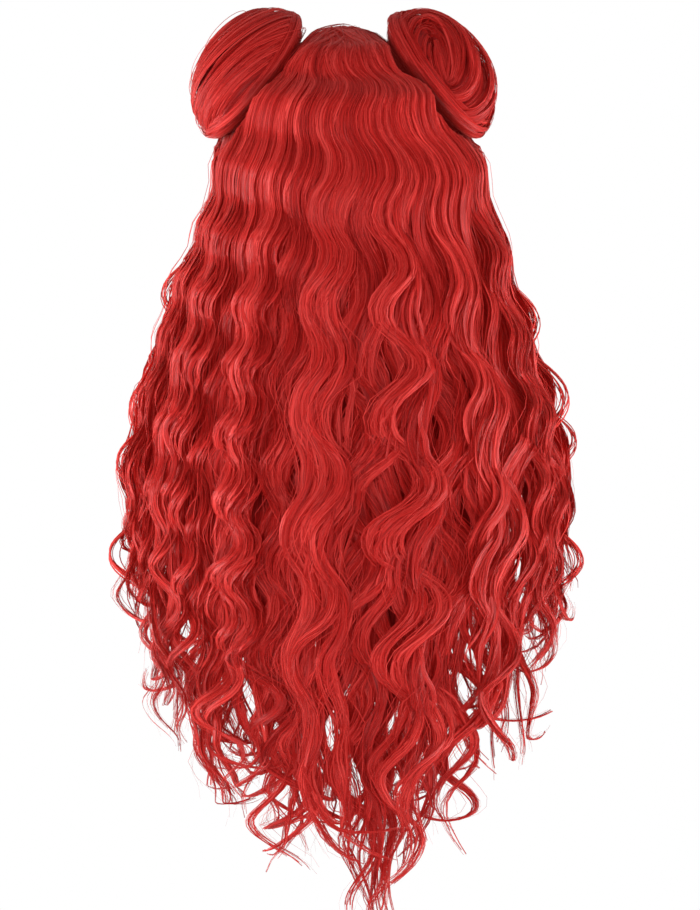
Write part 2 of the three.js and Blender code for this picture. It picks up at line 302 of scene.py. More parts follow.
def meshFromArrays(name, material, vertices, quads, caps, u, v, marks, sharpSides=0):
    mesh = bpy.data.meshes.new(name)
    capSides = caps.shape[1]
    loops = np.concatenate((quads.ravel(), caps.ravel())).astype(np.int32)
    capStarts = quads.size + np.arange(len(caps)) * capSides
    starts = np.concatenate((np.arange(len(quads)) * 4, capStarts)).astype(np.int32)
    mesh.vertices.add(len(vertices))
    mesh.vertices.foreach_set("co", vertices.astype(np.float32).ravel())
    mesh.loops.add(len(loops))
    mesh.loops.foreach_set("vertex_index", loops)
    mesh.polygons.add(len(starts))
    mesh.polygons.foreach_set("loop_start", starts)
    mesh.polygons.foreach_set("use_smooth", np.ones(len(starts), dtype=bool))
    uvMap = mesh.uv_layers.new(name="strand")
    uvMap.data.foreach_set("uv", np.stack((u, v), axis=-1).astype(np.float32).ravel())
    markPoints(mesh, marks)
    mesh.update(calc_edges=True)
    mesh.materials.append(material)
    if sharpSides:
        ends = np.zeros(len(mesh.edges) * 2, dtype=np.int32)
        mesh.edges.foreach_get("vertices", ends)
        side = ends.reshape(-1, 2) % sharpSides
        sharp = (side[:, 0] == side[:, 1]) & (side[:, 0] != 0)
        mesh.attributes.new("sharp_edge", "BOOLEAN", "EDGE").data.foreach_set("value", sharp)
    piece = bpy.data.objects.new(name, mesh)
    bpy.context.scene.collection.objects.link(piece)
    print("made", name, "triangles", 2 * len(quads) + len(caps) * (capSides - 2))
    return piece


def standFor(piece, node):
    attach(piece, "root")
    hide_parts(node)


# Shader nodes: an input takes a plain value, or the output of another node

def feed(tree, node, inputs):
    for key, value in inputs.items():
        if isinstance(value, bpy.types.NodeSocket):
            tree.links.new(value, node.inputs[key])
        else:
            node.inputs[key].default_value = value


def addNode(tree, kind, inputs=None, **values):
    node = tree.nodes.new(kind)
    for key, value in values.items():
        setattr(node, key, value)
    feed(tree, node, inputs or {})
    return node


def attribute(tree, name):
    return addNode(tree, "ShaderNodeAttribute", attribute_name=name).outputs["Fac"]


def calculate(tree, operation, *values):
    return addNode(tree, "ShaderNodeMath", dict(enumerate(values)), operation=operation).outputs[0]


def ranged(tree, value, low, high, toLow=0.0, toHigh=1.0, **kind):
    inputs = {"Value": value, "From Min": low, "From Max": high, "To Min": toLow, "To Max": toHigh}
    return addNode(tree, "ShaderNodeMapRange", inputs, **kind).outputs["Result"]


def blend(tree, factor, first, second):
    inputs = {"Factor": factor, "A": first, "B": second}
    return addNode(tree, "ShaderNodeMix", inputs, data_type="RGBA").outputs["Result"]


def placeOf(tree, *parts):
    return addNode(tree, "ShaderNodeCombineXYZ", dict(enumerate(parts))).outputs[0]


def noiseAt(tree, place, dimensions, scale, detail):
    inputs = {"Vector": place, "Scale": scale, "Detail": detail}
    return addNode(tree, "ShaderNodeTexNoise", inputs, noise_dimensions=dimensions).outputs["Fac"]


def bumped(tree, height, strength, distance):
    inputs = {"Height": height, "Strength": strength, "Distance": distance}
    return addNode(tree, "ShaderNodeBump", inputs).outputs["Normal"]


def newGroup(name, inputs, outputs):
    group = bpy.data.node_groups.new(name, "ShaderNodeTree")
    for way, sockets in (("INPUT", inputs), ("OUTPUT", outputs)):
        for label, kind in sockets.items():
            group.interface.new_socket(label, in_out=way, socket_type="NodeSocket" + kind)
    return group, addNode(group, "NodeGroupInput").outputs


def newMaterial(name):
    material = bpy.data.materials.new(name)
    material.use_nodes = True
    return material, material.node_tree, material.node_tree.nodes["Principled BSDF"]


def opaque(colour):
    return (*colour, 1.0)


# Shared shader groups: the grain of fine fibres and the colour of hair

grainPlan = {
    "apart": 91.0,  # keeps the tubes' patterns apart
    "wobble": 34.0,  # for each metre along
    "crossing": 6.0,  # how far fibres run across a tube
    "stretch": 14.0, "fibreDetail": 3.0, "driftScale": 9.0, "driftDetail": 2.0,
    "gapStretch": (1.0, 0.5, 1.0), "gapPlace": (17.3, 5.1, 40.7), "gapEdge": (0.41, 0.50),
    "thinFrom": 0.55, "thinBy": 0.05,
}
colourPlan = {"fibre": 2.4, "drift": 0.65, "centre": 1.525}


def fibreGrainGroup():
    outputs = {"Fibre": "Float", "Drift": "Float", "Cover": "Float"}
    group, into = newGroup("fibreGrain", {"Fibres": "Float"}, outputs)
    uv = addNode(group, "ShaderNodeUVMap", uv_map="strand")
    split = addNode(group, "ShaderNodeSeparateXYZ", {0: uv.outputs["UV"]})
    along = split.outputs["Y"]
    apart = calculate(group, "MULTIPLY", attribute(group, "tone"), grainPlan["apart"])
    quick = calculate(group, "MULTIPLY", along, grainPlan["wobble"])
    wobble = noiseAt(group, placeOf(group, quick, apart), "2D", 1.0, 1.0)
    fine = calculate(group, "MULTIPLY", split.outputs["X"], into["Fibres"])
    crossing = calculate(group, "MULTIPLY_ADD", wobble, grainPlan["crossing"], fine)
    stretch = calculate(group, "MULTIPLY", along, grainPlan["stretch"])
    place = placeOf(group, crossing, stretch, apart)
    fibre = noiseAt(group, place, "3D", 1.0, grainPlan["fibreDetail"])
    slow = placeOf(group, along, apart)
    drift = noiseAt(group, slow, "2D", grainPlan["driftScale"], grainPlan["driftDetail"])
    moved = {0: place, 1: grainPlan["gapStretch"], 2: grainPlan["gapPlace"]}
    elsewhere = addNode(group, "ShaderNodeVectorMath", moved, operation="MULTIPLY_ADD")
    gaps = noiseAt(group, elsewhere.outputs[0], "3D", 1.0, 1.0)
    part = attribute(group, "part")
    thinning = ranged(group, part, grainPlan["thinFrom"], 1.0, 0.0, grainPlan["thinBy"])
    fewer = calculate(group, "SUBTRACT", gaps, thinning)
    cover = ranged(group, fewer, *grainPlan["gapEdge"], interpolation_type="SMOOTHSTEP")
    addNode(group, "NodeGroupOutput", {"Fibre": fibre, "Drift": drift, "Cover": cover})
    return group


def hairColourGroup():
    reds = dict.fromkeys(("Deep", "Main", "Bright", "Crease"), "Color")
    group, into = newGroup("hairColour", {"Fibre": "Float", "Drift": "Float", **reds}, {"Colour": "Color"})
    level = calculate(group, "MULTIPLY_ADD", into["Fibre"], colourPlan["fibre"], attribute(group, "tone"))
    level = calculate(group, "MULTIPLY_ADD", into["Drift"], colourPlan["drift"], level)
    level = calculate(group, "SUBTRACT", level, colourPlan["centre"])
    colour = blend(group, ranged(group, level, 0.0, 0.5), into["Deep"], into["Main"])
    colour = blend(group, ranged(group, level, 0.5, 1.0), colour, into["Bright"])
    # painted shade: the near-black crease colour is mixed in by the shade mark round the buns
    colour = blend(group, attribute(group, "shade"), colour, into["Crease"])
    addNode(group, "NodeGroupOutput", {"Colour": colour})
    return group


fibreGrain = fibreGrainGroup()
hairColour = hairColourGroup()


def hairMaterial(name, finish):
    material, tree, shader = newMaterial(name)
    grain = addNode(tree, "ShaderNodeGroup", {"Fibres": finish["fibres"]}, node_tree=fibreGrain).outputs
    reds = {key: opaque(finish[key.lower()]) for key in ("Deep", "Main", "Bright", "Crease")}
    inputs = {"Fibre": grain["Fibre"], "Drift": grain["Drift"], **reds}
    colour = addNode(tree, "ShaderNodeGroup", inputs, node_tree=hairColour)
    feed(tree, shader, {
        "Base Color": colour.outputs["Colour"],
        "Roughness": ranged(tree, grain["Drift"], 0.0, 1.0, *finish["rough"]),
        "Normal": bumped(tree, grain["Fibre"], finish["bump"], finish["bumpDepth"]),
        "Specular IOR Level": finish["specular"],
        "Sheen Weight": finish["sheen"],
        "Sheen Roughness": finish["sheenRough"],
        "Sheen Tint": opaque(finish["sheenTint"]),
        # painted glow: an emission in the hair's main colour, though the hair is no lamp
        "Emission Color": opaque(finish["main"]),
        "Emission Strength": finish["paintedGlow"],
    })
    if finish["split"]:
        feed(tree, shader, {"Alpha": grain["Cover"]})
    return material


ribbonFinish = {
    "deep": (0.24, 0.0050, 0.0045), "main": (0.49, 0.0135, 0.0112), "bright": (0.74, 0.056, 0.048),
    "crease": (0.05, 0.002, 0.001), "fibres": 10.0, "rough": (0.30, 0.44), "bump": 0.6,
    # crease: painted shade, the dark line where a bun meets the head
    "bumpDepth": 0.0004, "specular": 0.12, "sheen": 0.6, "sheenRough": 0.4, "sheenTint": (0.95, 0.16, 0.13),
    "paintedGlow": 0.10,  # painted glow: emission that stands in for light that has passed through other hair
    "split": True,
}
strandFinish = {**ribbonFinish, "bright": (0.84, 0.06, 0.05), "fibres": 3.0, "split": False}
# painted shade: a darker copy of the hair for the fill, the backing and the bun cores, which lie in shadow
paintedShadeFinish = {
    **ribbonFinish,
    "deep": (0.13, 0.002, 0.002), "main": (0.34, 0.007, 0.006), "bright": (0.50, 0.014, 0.012),
    "fibres": 24.0, "rough": (0.45, 0.6), "bump": 0.8, "specular": 0.2, "sheen": 0.2, "paintedGlow": 0.05,
    "split": False,
}
ribbonMaterial = hairMaterial("satinHair", ribbonFinish)
strandMaterial = hairMaterial("fineHair", strandFinish)
paintedShadeMaterial = hairMaterial("paintedShadeHair", paintedShadeFinish)
print("materials ready")


# Strands of a panel: locks, sub-locks inside each, and strands inside those

basePlan = {
    "seed": 20, "lockSeed": 3,
    "places": ((-0.75, -0.1), (-0.25, 0.3), (0.25, 0.3), (0.75, -0.1), (-0.4, -0.5), (0.4, -0.5)),
    "perSubLock": 5, "rings": 56,
    "headRings": 0.34,  # share of the rings on the head
    "crowding": 0.35,  # how much closer the rings stand at the tips
    "start": (-0.03, 0.012), "rootTuck": 0.005, "tuckRun": 0.025, "whorl": 0.011, "whorlRun": 0.08,
    "crownRise": 0.005, "crownRun": (0.03, 0.13), "hangDrop": (0.0, 0.16),
    "partDrop": (-0.06, 0.05),  # where the combed hair parts into sub-locks
    "subAcross": (-0.12, 0.12), "subOut": (-0.1, 0.1), "subRadius": (0.55, 0.50), "subTip": 0.25,
    "subTipFrom": 0.5, "looseTips": 1.2, "looseFrom": 0.7, "halfThick": (0.0040, 0.0080),
    "edgeOut": 0.5,  # how far the locks beside the side hair stand out
    "edgeAzimuth": (56.0, 78.0), "width": 0.0050, "widths": (0.6, 1.35),
    "rootWidth": (0.3, 0.05),  # share of the width, and its run
    "tipWidth": 0.2, "tipFrom": 0.84, "flat": 0.16, "roll": 0.5, "rollHead": 0.18,
    "rollPitch": (0.15, 0.4), "shorter": 0.018, "subLength": (-0.03, 0.012), "hookFrom": (0.86, 0.92),
    "hookTurn": (2.2, 3.8), "hookRamp": 1.2, "hookLean": (-0.9, 0.9), "droopTurn": (0.1, 0.6),
    "curledShare": 0.6, "inwardShare": 0.72, "swing": (0.25, 0.8), "wander": (0.08, 0.5),
    "wanderPitch": (0.22, 0.5), "curlFrom": (0.58, 0.74), "curlRun": 0.32, "curlRadius": (0.007, 0.0135),
    "curlPitch": (0.068, 0.095), "curlOut": 0.6, "curlSink": 0.3, "curlEnd": 0.45,
    "frizz": ((0.00025, 0.022, 0.036), (0.0008, 0.05, 0.09), (0.0014, 0.11, 0.2)), "frizzHead": 0.2,
    "frizzDrop": (-0.02, 0.2), "frizzOut": 0.6, "loose": 1.0, "strays": 0.06, "strayGain": 3.0,
    "tones": (0.10, 0.17),  # from strand to strand, and from sub-lock to sub-lock
}


def ringPlaces(plan, start, onHead, length):
    even = np.linspace(0.0, 1.0, plan["rings"])
    head = plan["headRings"]
    below = np.clip((even - head) / (1.0 - head), 0.0, 1.0)
    below = below * (1.0 + plan["crowding"] * (1.0 - below))
    return np.where(even < head, start + (onHead - start) * even / head, onHead + (length - onHead) * below)


def frizzOf(along, grown, layers, gain, rng):
    total = np.zeros_like(along)
    for size, shortest, longest in layers:
        pitch = scatter(rng, len(along), shortest, longest)
        phase = scatter(rng, len(along), 0.0, math.tau)
        total += size * np.sin(math.tau * along / pitch + phase)
    return total * grown * gain


def strandPaths(panel, locks, plan, lockRng, rng):
    subs, per = len(plan["places"]), plan["perSubLock"]
    locks = np.asarray(locks)
    lines = lockLines(panel, locks)
    lockShare, azimuth, onHead, length, lift = (np.repeat(line, subs * per)[:, None] for line in lines)
    count = len(azimuth)

    def perLock(low, high):
        return np.repeat(lockRng.uniform(low, high, panel["locks"])[locks], subs * per)[:, None]

    def perSub(low, high):
        return np.repeat(lockRng.uniform(low, high, (panel["locks"], subs))[locks].ravel(), per)[:, None]

    def perStrand(low, high):
        return scatter(rng, count, low, high)

    # where each strand lies in its lock
    places = np.tile(np.repeat(plan["places"], per, axis=0), (len(locks), 1))
    subAcross = places[:, :1] + perSub(*plan["subAcross"])
    edgeOut = mix(1.0, plan["edgeOut"], ease(np.abs(azimuth), *plan["edgeAzimuth"]))
    subOut = places[:, 1:] * edgeOut + perSub(*plan["subOut"])
    radius = np.sqrt(perStrand(0.0, 1.0))
    spin = perStrand(0.0, math.tau)
    shorter = np.abs(rng.normal(0.0, plan["shorter"], (count, 1)))
    subLength = length + perSub(*plan["subLength"])
    strandLength = subLength - shorter
    start = perStrand(*plan["start"])
    along = ringPlaces(plan, start, onHead, strandLength)
    drop = along - onHead
    part = along / subLength  # shared by a sub-lock, so that its strands curl together
    ownPart = along / strandLength
    hanging = ease(drop, *plan["hangDrop"])
    parted = ease(drop, *plan["partDrop"])
    calm = ease(np.abs(azimuth - hang["tipAzimuth"]), *hang["tipSpread"])
    tipGather = mix(hang["tipGather"], 1.0, calm)
    gather = mix(1.0, plan["looseTips"] * tipGather, ease(part, plan["looseFrom"], 1.0))
    subRadius = mix(*plan["subRadius"], parted)
    subRadius = subRadius * mix(1.0, plan["subTip"], ease(part, plan["subTipFrom"], 1.0))
    wanderTurns = along / perSub(*plan["wanderPitch"]) + perSub(0.0, 1.0)
    wander = mix(*plan["wander"], hanging) * np.sin(math.tau * wanderTurns)
    across = subAcross * gather + radius * np.cos(spin) * subRadius + wander
    share = lockShare + across * 0.5 / panel["locks"]  # half a lock to each side
    points, outward = fanPoints(panel, share, along, headShape["lockOver"], lift)
    sideways = acrossOf(points, outward)

    # the waves, and how far each strand stands out
    phase = wavePhase(along, azimuth, drop)
    phase = phase + np.maximum(drop, 0.0) * perLock(*wave["lockPitch"])
    phase = phase + perLock(*wave["lockPhase"]) * hanging
    phase = phase + wave["against"] * np.repeat(locks % 2, subs * per)[:, None] * hanging
    headStray, hangStray, tipStray = wave["subPhase"]
    stray = headStray + hangStray * hanging + tipStray * ease(part, *wave["subTip"])
    phase = phase + perSub(-1.0, 1.0) * stray
    phase = phase + wave["round"] * np.sin(2.0 * phase)
    strength = waveStrength(along, onHead, subLength) * perSub(*plan["swing"])
    crown = ease(along, *wave["crownFrom"]) * (1.0 - hanging)
    swing = strength * wave["across"] + crown * wave["crownAcross"]
    swell = strength * wave["outward"] + crown * wave["crownOutward"]
    lateral, radial = waveOffsets(phase, azimuth, drop, swing, swell)
    radial += (subOut + radius * np.sin(spin) * subRadius) * mix(*plan["halfThick"], parted)
    radial += plan["crownRise"] * (1.0 - ease(along, *plan["crownRun"]))
    radial -= plan["rootTuck"] * (1.0 - ease(along - start, 0.0, plan["tuckRun"]))
    lateral += perStrand(-1.0, 1.0) * plan["whorl"] * (1.0 - ease(along, 0.0, plan["whorlRun"]))

    # curls and hooks at the ends
    curlFrom = perSub(*plan["curlFrom"])
    hookFrom = perSub(*plan["hookFrom"])
    curl = ease(part, curlFrom, curlFrom + plan["curlRun"]) * perSub(*plan["curlRadius"]) * tipGather
    curl = curl * mix(1.0, plan["curlEnd"], ease(part, hookFrom, 1.0))
    curlTurns = along / perSub(*plan["curlPitch"]) * np.sign(perSub(-1.0, 1.0)) + perSub(0.0, 1.0)
    lateral += curl * np.sin(math.tau * curlTurns)
    radial += plan["curlOut"] * curl * (np.cos(math.tau * curlTurns) - plan["curlSink"])
    droop = perSub(0.0, 1.0) > plan["curledShare"]
    inward = np.sign(hang["tipAzimuth"] - azimuth) * np.sign(plan["inwardShare"] - perSub(0.0, 1.0))
    hookTurn = np.where(droop, perSub(*plan["droopTurn"]), perSub(*plan["hookTurn"]))
    hookTurn = hookTurn * inward * mix(hang["tipHook"], 1.0, calm)
    hook = hookTurn * np.clip((part - hookFrom) / (1.0 - hookFrom), 0.0, 1.0) ** plan["hookRamp"]
    hookLean = perSub(*plan["hookLean"])
    step = np.diff(along, axis=1, prepend=along[:, :1])
    swept = np.cumsum(np.sin(hook) * step, axis=1)
    lateral += swept * np.cos(hookLean)
    radial -= np.abs(swept * np.sin(hookLean))
    points[..., 2] += np.cumsum((1.0 - np.cos(hook)) * step, axis=1)

    # frizz, the dip under the buns, and the painted shade beside them
    grown = mix(plan["frizzHead"], 1.0, ease(drop, *plan["frizzDrop"]))
    gain = np.where(perStrand(0.0, 1.0) < plan["strays"], plan["strayGain"], 1.0) * plan["loose"]
    lateral += frizzOf(along, grown, plan["frizz"], gain, rng)
    radial += frizzOf(along, grown, plan["frizz"], gain * plan["frizzOut"], rng)
    dip, shade = dipUnderBuns(points)
    points = shifted(points, sideways, outward, lateral, radial - dip)

    # width, roll and tone
    rootWidth, rootRun = plan["rootWidth"]
    profile = mix(rootWidth, 1.0, ease(along - start, 0.0, rootRun))
    profile = profile * mix(1.0, plan["tipWidth"], ease(ownPart, plan["tipFrom"], 1.0))
    width = plan["width"] * perStrand(*plan["widths"]) * profile
    turning = perStrand(-1.0, 1.0)
    rollTurns = along / perStrand(*plan["rollPitch"]) + perStrand(0.0, 1.0)
    turning = turning + np.sin(math.tau * rollTurns)
    roll = plan["roll"] * turning * mix(plan["rollHead"], 1.0, hanging)
    strandTone, subTone = plan["tones"]
    tone = 0.5 + strandTone * rng.normal(0.0, 1.0, count) + perSub(-subTone, subTone)[:, 0]
    return points, outward, width, np.clip(tone, 0.0, 1.0), roll, ownPart, shade


def strandPiece(name, panelName, locks, plan, material, rng):
    lockRng = np.random.default_rng((plan["lockSeed"], list(panels).index(panelName)))
    paths = strandPaths(panels[panelName], locks, plan, lockRng, rng)
    standFor(tubesFromPaths(name, material, plan["flat"], *paths), panelName)


singleHair = {"width": 0.0005, "flat": 0.8}
sideRoots = {"start": (-0.001, 0.006), "crownRise": 0.002, "whorl": 0.0, "edgeOut": 1.0, "rootTuck": 0.0}
topPlan = {
    **basePlan,
    "lockSeed": 5, "places": ((-0.62, 0.95), (0.0, 1.2), (0.62, 0.95)), "perSubLock": 11, "rings": 120,
    "headRings": 0.3, "crowding": 0.3, "subRadius": (0.55, 0.44), "swing": (0.55, 1.3), "loose": 1.25,
    "wander": (0.05, 0.3), "width": 0.0045, "shorter": 0.016, "subLength": (-0.02, 0.02),
    "curlRadius": (0.009, 0.018), "curlPitch": (0.074, 0.112), "roll": 0.35,
}
finePlan = {**topPlan, **singleHair, "perSubLock": 6, "strays": 0.3, "rings": 68,
            "subRadius": (0.6, 0.95), "subTip": 0.5, "loose": 1.5}
sidePlan = {**basePlan, **sideRoots, "perSubLock": 4, "rings": 50, "curlRadius": (0.004, 0.009),
            "swing": (0.2, 0.6)}
sideTopPlan = {**topPlan, **sideRoots, "places": ((-0.62, 0.2), (0.0, 0.35), (0.62, 0.2)), "rings": 62,
               "curlRadius": (0.005, 0.011), "curlPitch": (0.068, 0.095), "swing": (0.6, 1.3)}
loosePlan = {
    **basePlan,
    **singleHair,
    "lockSeed": 7, "places": ((-0.7, 0.6), (0.0, 1.1), (0.7, 0.6), (0.0, -0.5)), "perSubLock": 3,
    "rings": 44, "loose": 2.4, "halfThick": (0.0055, 0.0105), "crownRise": 0.003,
    "curlRadius": (0.004, 0.012), "shorter": 0.05, "hookTurn": (0.2, 1.6),
    "frizz": ((0.0, 0.022, 0.036), (0.0008, 0.06, 0.1), (0.0016, 0.11, 0.2)),
}
sideLoosePlan = {**loosePlan, **sideRoots, "places": ((-0.7, 0.0), (0.0, 0.4), (0.7, 0.0), (0.0, -0.5)),
                 "curlRadius": (0.003, 0.009), "loose": 2.0}
rng = np.random.default_rng(basePlan["seed"])
backLocks = range(panels["back_hair"]["locks"])
middle = len(backLocks) // 2
strandPiece("back_hair_base", "back_hair", backLocks, basePlan, ribbonMaterial, rng)
strandPiece("back_hair_right", "back_hair", backLocks[:middle], topPlan, ribbonMaterial, rng)
strandPiece("back_hair_left", "back_hair", backLocks[middle:], topPlan, ribbonMaterial, rng)
strandPiece("back_hair_fine", "back_hair", backLocks, finePlan, strandMaterial, rng)
strandPiece("back_hair_loose", "back_hair", backLocks, loosePlan, strandMaterial, rng)
for panelName in sidePanels:
    sideLocks = range(panels[panelName]["locks"])
    strandPiece(panelName + "_base", panelName, sideLocks, sidePlan, ribbonMaterial, rng)
    strandPiece(panelName + "_locks", panelName, sideLocks, sideTopPlan, ribbonMaterial, rng)
    strandPiece(panelName + "_loose", panelName, sideLocks, sideLoosePlan, strandMaterial, rng)
print("strands made")


# Loops that bow out from the edges of the side hair

loopPlan = {
    "seed": 52,
    "left_side_hair": (0.030, 0.105, 0.152, 0.222),  # how far below the head each begins
    "right_side_hair": (0.045, 0.098, 0.140, 0.228),
    "share": (0.12, 0.38), "perLoop": 12, "rings": 18,
    "length": (0.060, 0.080), "lengths": (0.92, 1.08), "bow": (0.0185, 0.0245), "innerBow": 0.62,
    "sag": 1.2,  # more than 1 puts the widest place lower
    "tuck": 0.010, "spread": 0.0030, "crossing": (0.2, 0.8), "width": 0.0017, "widths": (0.6, 1.3),
    "flat": 0.6, "tones": (0.3, 0.8),
}


def edgeLoops(panelName, rng):
    panel, per = panels[panelName], loopPlan["perLoop"]
    starts = np.repeat(loopPlan[panelName], per)[:, None]
    count = len(starts)

    def perLoop(low, high):
        return np.repeat(rng.uniform(low, high, count // per), per)[:, None]

    share = perLoop(*loopPlan["share"])
    _, onHead = headRun(panel, share)
    part = np.linspace(0.0, 1.0, loopPlan["rings"])
    length = perLoop(*loopPlan["length"]) * scatter(rng, count, *loopPlan["lengths"])
    along = onHead + starts + length * part
    points, outward = fanPoints(panel, share + 0.0 * along, along, headShape["lockOver"])
    inner = scatter(rng, count) ** 2
    bow = perLoop(*loopPlan["bow"]) * mix(1.0, loopPlan["innerBow"], inner)
    radial = mix(-loopPlan["tuck"], bow, np.sin(np.pi * part ** loopPlan["sag"]))
    lateral = loopPlan["spread"] * rng.normal(0.0, 1.0, (count, 1))
    lateral = lateral * np.cos(np.pi * (part - scatter(rng, count, *loopPlan["crossing"])))
    points = shifted(points, acrossOf(points, outward), outward, lateral, radial)
    width = loopPlan["width"] * scatter(rng, count, *loopPlan["widths"]) + 0.0 * along
    tone = rng.uniform(*loopPlan["tones"], count)
    name = panelName + "_loops"
    return tubesFromPaths(name, strandMaterial, loopPlan["flat"], points, outward, width, tone)


rng = np.random.default_rng(loopPlan["seed"])
for panelName in sidePanels:
    standFor(edgeLoops(panelName, rng), panelName)
print("loops made")


# Painted shade fill: broad ribbons behind the locks and the combed hair on the cap, in a darker copy of the
# hair

fillPlan = {
    "seed": 27, "count": {"back_hair": 130, "left_side_hair": 42, "right_side_hair": 42}, "rings": 32,
    "from": 0.75,  # share of the way down the head
    "reach": (0.70, 0.90), "lap": (-0.05, 1.05), "stray": (-0.6, 0.6), "deep": 0.0075,
    "deepDrop": (-0.02, 0.1), "width": 0.0135, "flat": 0.2, "tipFrom": 0.78, "tipWidth": 0.1, "roll": 0.4,
    "rollPitch": 0.3, "tones": (0.3, 0.7), "backingGrid": (40, 20),
}


def fillRibbons(panelName, rng):
    panel, count = panels[panelName], fillPlan["count"][panelName]
    share = mix(*fillPlan["lap"], (np.arange(count)[:, None] + scatter(rng, count)) / count)
    azimuth, onHead = headRun(panel, share)
    length = hemLength(azimuth, onHead) * scatter(rng, count, *fillPlan["reach"])
    start = fillPlan["from"] * onHead
    along = start + (length - start) * np.linspace(0.0, 1.0, fillPlan["rings"])
    drop = along - onHead
    points, outward = fanPoints(panel, share + 0.0 * along, along, headShape["lockOver"])
    strength = waveStrength(along, onHead, length)
    phase = wavePhase(along, azimuth, drop) + scatter(rng, count, *fillPlan["stray"])
    lateral, radial = waveOffsets(phase, azimuth, drop, strength * wave["across"], strength * wave["outward"])
    radial = radial - fillPlan["deep"] * ease(drop, *fillPlan["deepDrop"])
    points = shifted(points, acrossOf(points, outward), outward, lateral, radial)
    tip = ease(along / length, fillPlan["tipFrom"], 1.0)
    width = fillPlan["width"] * mix(1.0, fillPlan["tipWidth"], tip)
    tone = rng.uniform(*fillPlan["tones"], count)
    roll = fillPlan["roll"] * np.sin(math.tau * (along / fillPlan["rollPitch"] + scatter(rng, count)))
    name = panelName + "_fill"
    return tubesFromPaths(name, paintedShadeMaterial, fillPlan["flat"], points, outward, width, tone, roll)


def backingShell(panelName):
    panel = panels[panelName]
    columns, rows = fillPlan["backingGrid"]
    share = np.linspace(0.0, 1.0, columns + 1)[:, None]
    _, onHead = headRun(panel, share)
    along = onHead * np.linspace(0.0, 1.0, rows + 1)
    share = share + 0.0 * along
    outer, outward = fanPoints(panel, share, along, headShape["backingOver"])
    outer = outer - outward * dipUnderBuns(outer)[0][..., None]
    inner, _ = fanPoints(panel, share, along, headShape["backingUnder"])
    vertices = np.concatenate((outer.reshape(-1, 3), inner.reshape(-1, 3)))
    index = np.arange(share.size).reshape(share.shape)
    top = np.stack((index[:-1, :-1], index[:-1, 1:], index[1:, 1:], index[1:, :-1]), axis=-1).reshape(-1, 4)
    faces = [top, top[:, [0, 3, 2, 1]] + index.size]
    for edge, turned in ((index[0], False), (index[-1], True), (index[:, 0], True), (index[:, -1], False)):
        under = edge + index.size
        wall = np.stack((edge[:-1], under[:-1], under[1:], edge[1:]), axis=-1)
        faces.append(wall[:, ::-1] if turned else wall)
    quads = np.concatenate(faces)
    if panel["azimuth"][0] > panel["azimuth"][1]:
        quads = quads[:, ::-1]
    corners = quads.ravel() % index.size
    marks = {"tone": np.full(len(vertices), 0.5)}
    return meshFromArrays(panelName + "_backing", paintedShadeMaterial, vertices, quads, quads[:0],
                          share.ravel()[corners], along.ravel()[corners], marks)


rng = np.random.default_rng(fillPlan["seed"])
for panelName in panels:
    standFor(fillRibbons(panelName, rng), panelName)
    standFor(backingShell(panelName), panelName)
print("fill made")


# The nape: a row of shorter locks under the back hair

napePlan = {
    "seed": 31, "locks": 5, "perLock": 16, "rings": 32, "azimuth": 56, "polar": (103, 115),
    "over": (0.0036, 0.0072), "hem": -0.455, "shorter": 0.02, "inward": 0.014, "inwardDrop": 0.09,
    "half": (0.0115, 0.0042), "halfDrop": (0.1, 0.05), "gather": 0.35, "gatherFrom": 0.5, "wave": 0.007,
    "frizz": (0.3, 1.4), "width": 0.0036, "widths": (0.6, 1.3), "flat": 0.32, "tipFrom": 0.85,
    "tipWidth": 0.25, "tone": (0.45, 0.18),
}


def napeStrands(plan):
    rng = np.random.default_rng(plan["seed"])
    count = plan["locks"] * plan["perLock"]
    lock = np.repeat(np.arange(plan["locks"]), plan["perLock"])[:, None]
    centre = mix(-plan["azimuth"], plan["azimuth"], (lock + 0.5) / plan["locks"])
    radius = np.sqrt(scatter(rng, count))
    spin = scatter(rng, count, 0.0, math.tau)
    rootTurn = np.radians(centre + radius * np.cos(spin) * plan["azimuth"] / plan["locks"])
    polar = np.radians(scatter(rng, count, *plan["polar"]))
    over = scatter(rng, count, *plan["over"])
    direction = compass(rootTurn) * np.sin(polar)[..., None]
    direction[..., 2] = np.cos(polar)
    root = direction * (headShape["half"] + over[..., None])
    root[..., 2] -= headHeight
    length = root[..., 2] - plan["hem"] - np.abs(rng.normal(0.0, plan["shorter"], (count, 1)))
    along = length * np.linspace(0.0, 1.0, plan["rings"])
    turned = np.radians(centre)
    outward = compass(turned) + 0.0 * along[..., None]
    grown = ease(along, 0.0, wave["fullDrop"])
    gathered = mix(1.0, plan["gather"], ease(along / length, plan["gatherFrom"], 1.0))
    phase = math.tau * along / wave["length"] + turned * wave["phasePerDegree"]
    lateral = grown * plan["wave"] * np.sin(phase)
    lateral += frizzOf(along, mix(*plan["frizz"], grown), basePlan["frizz"], 1.0, rng)
    halfAcross, halfOut = plan["half"]
    acrossDrop, outDrop = plan["halfDrop"]
    lateral += radius * np.cos(spin) * halfAcross * (gathered - 1.0) * ease(along, 0.0, acrossDrop)
    radial = -plan["inward"] * ease(along, 0.0, plan["inwardDrop"])
    radial = radial + radius * np.sin(spin) * halfOut * ease(along, 0.0, outDrop) * gathered
    points = shifted(root, compass(turned - np.pi / 2.0), outward, lateral, radial)
    points[..., 2] -= along
    profile = mix(1.0, plan["tipWidth"], ease(along / length, plan["tipFrom"], 1.0))
    width = plan["width"] * scatter(rng, count, *plan["widths"]) * profile
    tone = np.clip(rng.normal(*plan["tone"], count), 0.0, 1.0)
    return tubesFromPaths("nape_strands", ribbonMaterial, plan["flat"], points, outward, width, tone)


standFor(napeStrands(napePlan), "nape_hair")
print("nape made")


# The buns: strands wound round a dome, in wraps with creases between them

